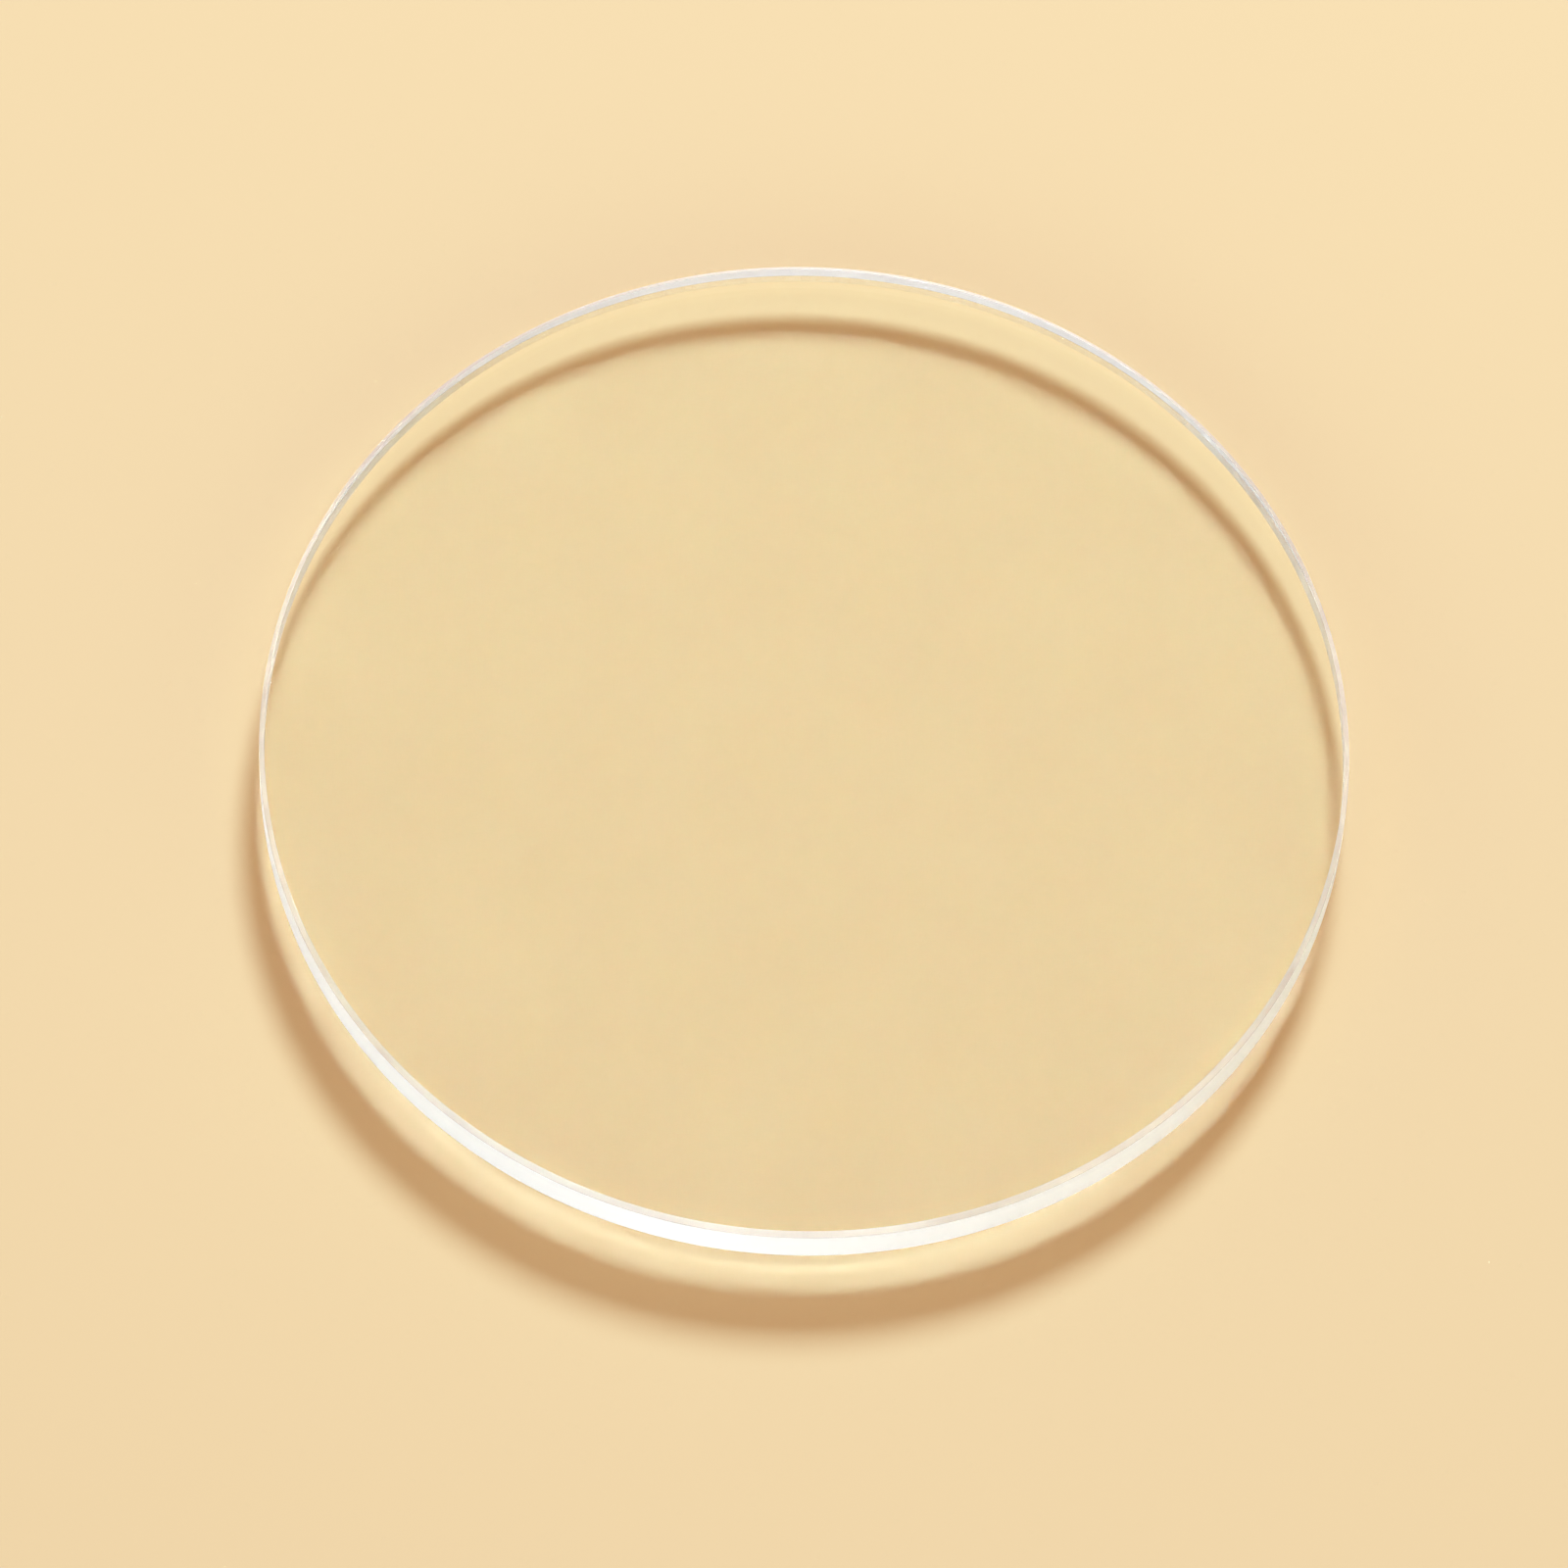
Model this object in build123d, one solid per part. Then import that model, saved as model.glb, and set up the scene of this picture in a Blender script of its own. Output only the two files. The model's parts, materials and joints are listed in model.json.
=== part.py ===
from build123d import *
from math import radians, tan
import os

# A flat round watch crystal, ground from one piece of clear stock.
# Two polished faces lie parallel, a finely ground wall runs round the edge,
# and a narrow polished bevel breaks the corner between the wall and each face.
# The origin is the centre of the underside, and +Z points out of the watch.

# Driving dimensions, in millimetres and degrees
crystal_diameter = 32.0
crystal_thickness = 1.5
top_bevel_width = 0.15
top_bevel_angle = 45.0
bottom_bevel_width = 0.15
bottom_bevel_angle = 45.0

# Radii and heights that follow from the driving dimensions
wall_radius = crystal_diameter / 2
top_face_radius = wall_radius - top_bevel_width
bottom_face_radius = wall_radius - bottom_bevel_width


def bevel_height(width, angle):
    """Height that a bevel takes off the wall, with its angle measured from the face."""
    return width * tan(radians(angle))


wall_bottom = bevel_height(bottom_bevel_width, bottom_bevel_angle)
wall_top = crystal_thickness - bevel_height(top_bevel_width, top_bevel_angle)


def crystal_half_section():
    """Half of the section through the axis, from the underside out and up to the top."""
    with BuildSketch(Plane.XZ) as section:
        with BuildLine():
            Polyline(
                (0, 0),
                (bottom_face_radius, 0),
                (wall_radius, wall_bottom),
                (wall_radius, wall_top),
                (top_face_radius, crystal_thickness),
                (0, crystal_thickness),
                close=True,
            )
        make_face()
    return section.sketch


def make_crystal():
    """The whole crystal, its half section turned once round the axis."""
    return revolve(crystal_half_section(), axis=Axis.Z)


parts = {"crystal": make_crystal()}

os.makedirs("parts", exist_ok=True)
for name, solid in parts.items():
    export_step(solid, f"parts/{name}.step")
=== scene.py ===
import json
import math

import bpy
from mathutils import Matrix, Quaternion, Vector


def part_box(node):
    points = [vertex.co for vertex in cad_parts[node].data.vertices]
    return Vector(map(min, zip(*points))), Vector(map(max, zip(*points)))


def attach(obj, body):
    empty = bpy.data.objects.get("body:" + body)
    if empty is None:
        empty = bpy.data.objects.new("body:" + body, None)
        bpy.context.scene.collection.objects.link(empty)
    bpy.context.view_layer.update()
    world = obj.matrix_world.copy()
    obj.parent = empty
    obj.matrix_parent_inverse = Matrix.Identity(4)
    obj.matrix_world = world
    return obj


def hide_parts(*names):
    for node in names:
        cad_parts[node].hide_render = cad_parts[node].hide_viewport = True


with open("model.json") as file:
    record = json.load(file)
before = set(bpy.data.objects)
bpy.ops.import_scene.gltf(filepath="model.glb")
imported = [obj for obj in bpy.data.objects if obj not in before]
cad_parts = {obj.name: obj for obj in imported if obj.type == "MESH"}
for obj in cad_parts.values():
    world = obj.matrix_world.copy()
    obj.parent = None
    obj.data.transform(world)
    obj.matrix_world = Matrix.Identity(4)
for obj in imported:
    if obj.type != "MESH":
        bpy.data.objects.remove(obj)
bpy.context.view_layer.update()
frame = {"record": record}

# Lengths are in metres
MM = 0.001

# The crystal's sizes, from the frame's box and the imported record
LOW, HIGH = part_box("crystal")
MOUNTS = {mount["name"]: mount for mount in frame["record"]["mounts"]}
WALL_RADIUS = (HIGH.x - LOW.x) / 2
THICKNESS = HIGH.z - LOW.z
WALL_HEIGHT = MOUNTS["edge_wall"]["dims"]["length_mm"] * MM
BEVEL = (THICKNESS - WALL_HEIGHT) / 2
MIDDLE = (LOW.z + HIGH.z) / 2

# The tiny radius that real grinding leaves on each corner, and how finely it is drawn
EDGE_RADIUS = 0.012 * MM
ARC_STEPS = 3
RING_STEPS = 720

# A band of the edge that leans in by less than this is the upright wall
UPRIGHT_WITHIN = EDGE_RADIUS / 100

# The crystal lies a little above the floor, as the photograph's shadow shows
FLOOR_GAP = 0.82 * MM
FLOOR_WIDTH = 3.0

# Slots of the crystal's mesh
FACE, WALL, TOP_BEVEL, LOW_BEVEL = range(4)

# Clear crystal: the index is near sapphire's, and the tint is a trace of warmth
CRYSTAL_INDEX = 1.77
CRYSTAL_TINT = (1.0, 1.0, 0.96, 1.0)

# The faces carry a clear coat against reflections, in nanometres
COAT_THICKNESS = 120.0
COAT_INDEX = 1.33

# Ground glass scatters white, and this share of what it scatters goes on through it
FROST_WHITE = (0.93, 0.95, 0.98, 1.0)
WALL_ROUGHNESS = 0.4
WALL_FROST = 0.85
WALL_THROUGH = 0.23
TOP_BEVEL_FROST = 0.35
TOP_BEVEL_THROUGH = 0.5

# The low bevel is ground less; the warm tint of its scatter is painted light, standing in for the
# warm floor it faces
LOW_BEVEL_PAINTED_WARM_LIGHT = (1.0, 0.84, 0.58, 1.0)
LOW_BEVEL_ROUGHNESS = 0.1
LOW_BEVEL_FROST = 0.2
LOW_BEVEL_THROUGH = 0.5

# Pale wood tone, plus an even warm painted glow (emission) that stands in for the light wood carries
# under its surface into shadows
FLOOR_COLOUR = (0.315, 0.333, 0.197, 1.0)
FLOOR_PAINTED_GLOW = (0.30, 0.058, 0.0, 1.0)
FLOOR_ROUGHNESS = 0.9
FLOOR_SHEEN = 0.2

# The key is a round soft lamp behind the crystal and to its right
KEY_AZIMUTH = math.radians(9)
KEY_ELEVATION = math.radians(44)
KEY_DISTANCE = 0.6
KEY_HALF_ANGLE = math.radians(8)
KEY_COLOUR = (0.98, 1.0, 1.18)
KEY_POWER = 6.05

# The dim studio, and the soft panels round the crystal that its edge shows.
# Each panel is full out to one angle from its middle and gone at the other (degrees).
ROOM = (0.005, 0.005, 0.005)
PANEL_FULL = 12
PANEL_GONE = 30

# Azimuth from the front and to the right, elevation (degrees), radiance
STUDIO = {
    "low front": (0, 8, (1.7, 1.9, 2.0)),
    "low front right": (40, 8, (0.5, 0.5, 0.4)),
    "low front left": (-40, 8, (0.7, 1.2, 1.5)),
    "low left": (-80, 8, (1.8, 1.6, 1.15)),
    "far left": (-117, 3, (1.8, 1.5, 1.0)),
    "front": (0, 32, (2.1, 2.15, 2.05)),
    "front right": (60, 22, (2.5, 2.3, 1.65)),
    "front left": (-45, 32, (1.7, 1.9, 2.15)),
    "behind": (180, 32, (1.0, 0.9, 1.0)),
    "overhead": (0, 90, (0.5, 0.47, 0.42)),
}

# The photograph's framing, in its own 1600 pixel frame
PHOTO_WIDTH_PX = 1600
PHOTO_CENTRE_PX = 800
CRYSTAL_CENTRE_PX = (819.9, 779.1)
CRYSTAL_RADIUS_PX = 554.5
CAMERA_ELEVATION = math.radians(63.08)
CAMERA_ROLL = math.radians(2.94)
RADIUS_PER_DISTANCE = 0.045
SENSOR_WIDTH_MM = 36.0
CAMERA_NEAR = 0.01
CAMERA_FAR = 10.0

# Light goes back and forth between the two faces and the wall many times
CLEAR_BOUNCES = 24
GLOSSY_BOUNCES = 16
DIFFUSE_BOUNCES = 4


def clear_shader(nodes, coat, roughness):
    """The crystal's own shader, with a coat this many nanometres thick on the surface."""
    clear = nodes.new("ShaderNodeBsdfPrincipled")
    clear.inputs["Base Color"].default_value = CRYSTAL_TINT
    clear.inputs["Roughness"].default_value = roughness
    clear.inputs["IOR"].default_value = CRYSTAL_INDEX
    clear.inputs["Transmission Weight"].default_value = 1.0
    clear.inputs["Thin Film Thickness"].default_value = coat
    clear.inputs["Thin Film IOR"].default_value = COAT_INDEX
    return clear


def frost_shader(nodes, links, through_share, white):
    """The scattering share of a ground surface: part comes back, the rest goes through."""
    back = nodes.new("ShaderNodeBsdfDiffuse")
    back.inputs["Color"].default_value = white
    through = nodes.new("ShaderNodeBsdfTranslucent")
    through.inputs["Color"].default_value = white
    frost = nodes.new("ShaderNodeMixShader")
    frost.inputs["Fac"].default_value = through_share
    links.new(back.outputs[0], frost.inputs[1])
    links.new(through.outputs[0], frost.inputs[2])
    return frost


def crystal_material(name, coat=0.0, roughness=0.0, frost=0.0, through=0.0, white=FROST_WHITE):
    """Clear crystal, with this share of the surface left frosted by the grinding."""
    mat = bpy.data.materials.new(name)
    mat.use_nodes = True
    nodes, links = mat.node_tree.nodes, mat.node_tree.links
    nodes.remove(nodes["Principled BSDF"])
    surface = clear_shader(nodes, coat, roughness)
    if frost:
        mix = nodes.new("ShaderNodeMixShader")
        mix.inputs["Fac"].default_value = frost
        links.new(surface.outputs[0], mix.inputs[1])
        links.new(frost_shader(nodes, links, through, white).outputs[0], mix.inputs[2])
        surface = mix
    links.new(surface.outputs[0], nodes["Material Output"].inputs["Surface"])
    return mat


def floor_material():
    """The plain floor, in the wood's pale tone, with an even warm painted glow that lifts and warms
    its shadows.
    """
    mat = bpy.data.materials.new("pale_floor")
    mat.use_nodes = True
    bsdf = mat.node_tree.nodes["Principled BSDF"]
    bsdf.inputs["Base Color"].default_value = FLOOR_COLOUR
    bsdf.inputs["Roughness"].default_value = FLOOR_ROUGHNESS
    bsdf.inputs["Specular IOR Level"].default_value = FLOOR_SHEEN
    # Painted light: the floor glows warm, standing in for light carried under the wood's surface
    bsdf.inputs["Emission Color"].default_value = FLOOR_PAINTED_GLOW
    bsdf.inputs["Emission Strength"].default_value = 1.0
    return mat


def rounded_corner(before, corner, after):
    """The small arc in place of one corner of the section: points with their outward normals."""
    before, corner, after = Vector(before), Vector(corner), Vector(after)
    back = (before - corner).normalized()
    ahead = (after - corner).normalized()
    half_opening = back.angle(ahead) / 2
    centre = corner + (back + ahead).normalized() * (EDGE_RADIUS / math.sin(half_opening))
    reach = EDGE_RADIUS / math.tan(half_opening)
    first = (corner + back * reach - centre).normalized()
    last = (corner + ahead * reach - centre).normalized()
    normals = [first.slerp(last, step / ARC_STEPS) for step in range(ARC_STEPS + 1)]
    return [(centre + normal * EDGE_RADIUS, normal) for normal in normals]


def crystal_section():
    """Half of the section, from the underside's edge out and up to the top face's edge."""
    corners = [
        (0, LOW.z),
        (WALL_RADIUS - BEVEL, LOW.z),
        (WALL_RADIUS, LOW.z + BEVEL),
        (WALL_RADIUS, HIGH.z - BEVEL),
        (WALL_RADIUS - BEVEL, HIGH.z),
        (0, HIGH.z),
    ]
    section = []
    for before, corner, after in zip(corners, corners[1:], corners[2:]):
        section += rounded_corner(before, corner, after)
    return section


def band_slot(low, high):
    """The slot of the band between two neighbouring points of the section."""
    if abs(high.x - low.x) < UPRIGHT_WITHIN:
        return WALL
    return TOP_BEVEL if low.y > MIDDLE else LOW_BEVEL


def turned(flats):
    """Points or normals of the section, each turned round the axis into a whole ring."""
    turns = [2 * math.pi * step / RING_STEPS for step in range(RING_STEPS)]
    return [
        (flat.x * math.cos(turn), flat.x * math.sin(turn), flat.y) for flat in flats for turn in turns
    ]


def band_faces(rings):
    """The faces between each ring and the next."""
    faces = []
    for ring in range(rings - 1):
        low, high = ring * RING_STEPS, (ring + 1) * RING_STEPS
        for step in range(RING_STEPS):
            after = (step + 1) % RING_STEPS
            faces.append((low + step, low + after, high + after, high + step))
    return faces


def flat_faces(rings):
    """The underside and the top face, which close the first ring and the last."""
    first = range(RING_STEPS)
    last = range((rings - 1) * RING_STEPS, rings * RING_STEPS)
    return [tuple(reversed(first)), tuple(last)]


def make_crystal(materials):
    """The whole crystal, its section turned round the axis and closed by two flat faces."""
    points, normals = zip(*crystal_section())
    rings = len(points)
    slots = [
        band_slot(low, high) for low, high in zip(points, points[1:]) for step in range(RING_STEPS)
    ]
    mesh = bpy.data.meshes.new("crystal_glass")
    mesh.from_pydata(turned(points), [], band_faces(rings) + flat_faces(rings))
    for material in materials:
        mesh.materials.append(material)
    mesh.polygons.foreach_set("material_index", slots + [FACE, FACE])
    mesh.polygons.foreach_set("use_smooth", [True] * len(mesh.polygons))
    mesh.validate()
    mesh.normals_split_custom_set_from_vertices(turned(normals))
    piece = bpy.data.objects.new("crystal_glass", mesh)
    bpy.context.scene.collection.objects.link(piece)
    return piece


def make_floor(mat):
    """A plain floor on the stage, just below the crystal."""
    bpy.ops.mesh.primitive_plane_add(size=FLOOR_WIDTH, location=(0, 0, LOW.z - FLOOR_GAP))
    floor = bpy.context.object
    floor.name = "floor"
    floor.data.materials.append(mat)


def make_camera():
    """The photograph's view: its angle, its roll and the crystal's place in the frame."""
    data = bpy.data.cameras.new("camera")
    camera = bpy.data.objects.new("camera", data)
    bpy.context.scene.collection.objects.link(camera)
    distance = WALL_RADIUS / RADIUS_PER_DISTANCE
    back = Vector((0, -math.cos(CAMERA_ELEVATION), math.sin(CAMERA_ELEVATION)))
    level = (-back).to_track_quat("-Z", "Y")
    camera.rotation_mode = "QUATERNION"
    camera.rotation_quaternion = level @ Quaternion((0, 0, 1), CAMERA_ROLL)
    right = camera.rotation_quaternion @ Vector((1, 0, 0))
    up = camera.rotation_quaternion @ Vector((0, 1, 0))
    metres_per_px = WALL_RADIUS / CRYSTAL_RADIUS_PX
    across = (PHOTO_CENTRE_PX - CRYSTAL_CENTRE_PX[0]) * metres_per_px
    down = (PHOTO_CENTRE_PX - CRYSTAL_CENTRE_PX[1]) * metres_per_px
    centre = Vector((0, 0, LOW.z))
    camera.location = centre + back * distance + right * across - up * down
    focal_px = distance / metres_per_px
    data.sensor_width = SENSOR_WIDTH_MM
    data.lens = focal_px * SENSOR_WIDTH_MM / PHOTO_WIDTH_PX
    data.clip_start = CAMERA_NEAR
    data.clip_end = CAMERA_FAR
    bpy.context.scene.camera = camera


def toward_panel(azimuth, elevation):
    """The direction of a panel, with its azimuth from the front and to the right."""
    turn = math.radians(azimuth)
    rise = math.radians(elevation)
    flat = math.cos(rise)
    return Vector((math.sin(turn) * flat, -math.cos(turn) * flat, math.sin(rise)))


def panel_glow(nodes, links, direction, panel):
    """One soft panel of the studio, as light that fades with the angle from its middle."""
    azimuth, elevation, radiance = panel
    facing = nodes.new("ShaderNodeVectorMath")
    facing.operation = "DOT_PRODUCT"
    facing.inputs[1].default_value = toward_panel(azimuth, elevation)
    links.new(direction, facing.inputs[0])
    fade = nodes.new("ShaderNodeMapRange")
    fade.interpolation_type = "SMOOTHSTEP"
    fade.inputs["From Min"].default_value = math.cos(math.radians(PANEL_GONE))
    fade.inputs["From Max"].default_value = math.cos(math.radians(PANEL_FULL))
    links.new(facing.outputs["Value"], fade.inputs["Value"])
    glow = nodes.new("ShaderNodeVectorMath")
    glow.operation = "SCALE"
    glow.inputs[0].default_value = radiance
    links.new(fade.outputs["Result"], glow.inputs["Scale"])
    return glow.outputs["Vector"]


def make_studio():
    """The world round the crystal: a dim room with every soft panel added to it."""
    world = bpy.data.worlds.new("studio")
    bpy.context.scene.world = world
    world.use_nodes = True
    nodes, links = world.node_tree.nodes, world.node_tree.links
    direction = nodes.new("ShaderNodeTexCoord").outputs["Generated"]
    room = nodes.new("ShaderNodeCombineXYZ")
    for axis, value in zip("XYZ", ROOM):
        room.inputs[axis].default_value = value
    total = room.outputs["Vector"]
    for panel in STUDIO.values():
        both = nodes.new("ShaderNodeVectorMath")
        both.operation = "ADD"
        links.new(total, both.inputs[0])
        links.new(panel_glow(nodes, links, direction, panel), both.inputs[1])
        total = both.outputs["Vector"]
    links.new(total, nodes["Background"].inputs["Color"])


def make_key():
    """The main lamp, a disc that faces the crystal."""
    flat = math.cos(KEY_ELEVATION)
    across = math.sin(KEY_AZIMUTH) * flat
    behind = math.cos(KEY_AZIMUTH) * flat
    toward = Vector((across, behind, math.sin(KEY_ELEVATION)))
    data = bpy.data.lights.new("key", "AREA")
    data.shape = "DISK"
    data.size = 2 * KEY_DISTANCE * math.tan(KEY_HALF_ANGLE)
    data.energy = KEY_POWER
    data.color = KEY_COLOUR
    key = bpy.data.objects.new("key", data)
    key.location = toward * KEY_DISTANCE
    key.rotation_mode = "QUATERNION"
    key.rotation_quaternion = toward.to_track_quat("Z", "Y")
    bpy.context.scene.collection.objects.link(key)


def render_settings():
    """Light that bends through clear crystal needs caustics, many bounces and no clamping."""
    scene = bpy.context.scene
    scene.view_settings.view_transform = "Standard"
    cycles = scene.cycles
    cycles.use_denoising = True
    cycles.denoiser = "OPENIMAGEDENOISE"
    cycles.caustics_reflective = True
    cycles.caustics_refractive = True
    cycles.blur_glossy = 0.0
    cycles.max_bounces = CLEAR_BOUNCES
    cycles.transmission_bounces = CLEAR_BOUNCES
    cycles.glossy_bounces = GLOSSY_BOUNCES
    cycles.diffuse_bounces = DIFFUSE_BOUNCES
    cycles.sample_clamp_indirect = 0.0


polished_face = crystal_material("polished_face", coat=COAT_THICKNESS)
ground_wall = crystal_material(
    "ground_wall", roughness=WALL_ROUGHNESS, frost=WALL_FROST, through=WALL_THROUGH
)
top_bevel = crystal_material("top_bevel", frost=TOP_BEVEL_FROST, through=TOP_BEVEL_THROUGH)
# The low bevel's scatter is tinted warm: painted light of the floor it faces
low_bevel = crystal_material(
    "low_bevel",
    roughness=LOW_BEVEL_ROUGHNESS,
    frost=LOW_BEVEL_FROST,
    through=LOW_BEVEL_THROUGH,
    white=LOW_BEVEL_PAINTED_WARM_LIGHT,
)
crystal = make_crystal([polished_face, ground_wall, top_bevel, low_bevel])
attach(crystal, "root")
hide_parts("crystal")
make_floor(floor_material())
make_camera()
make_studio()
make_key()
render_settings()
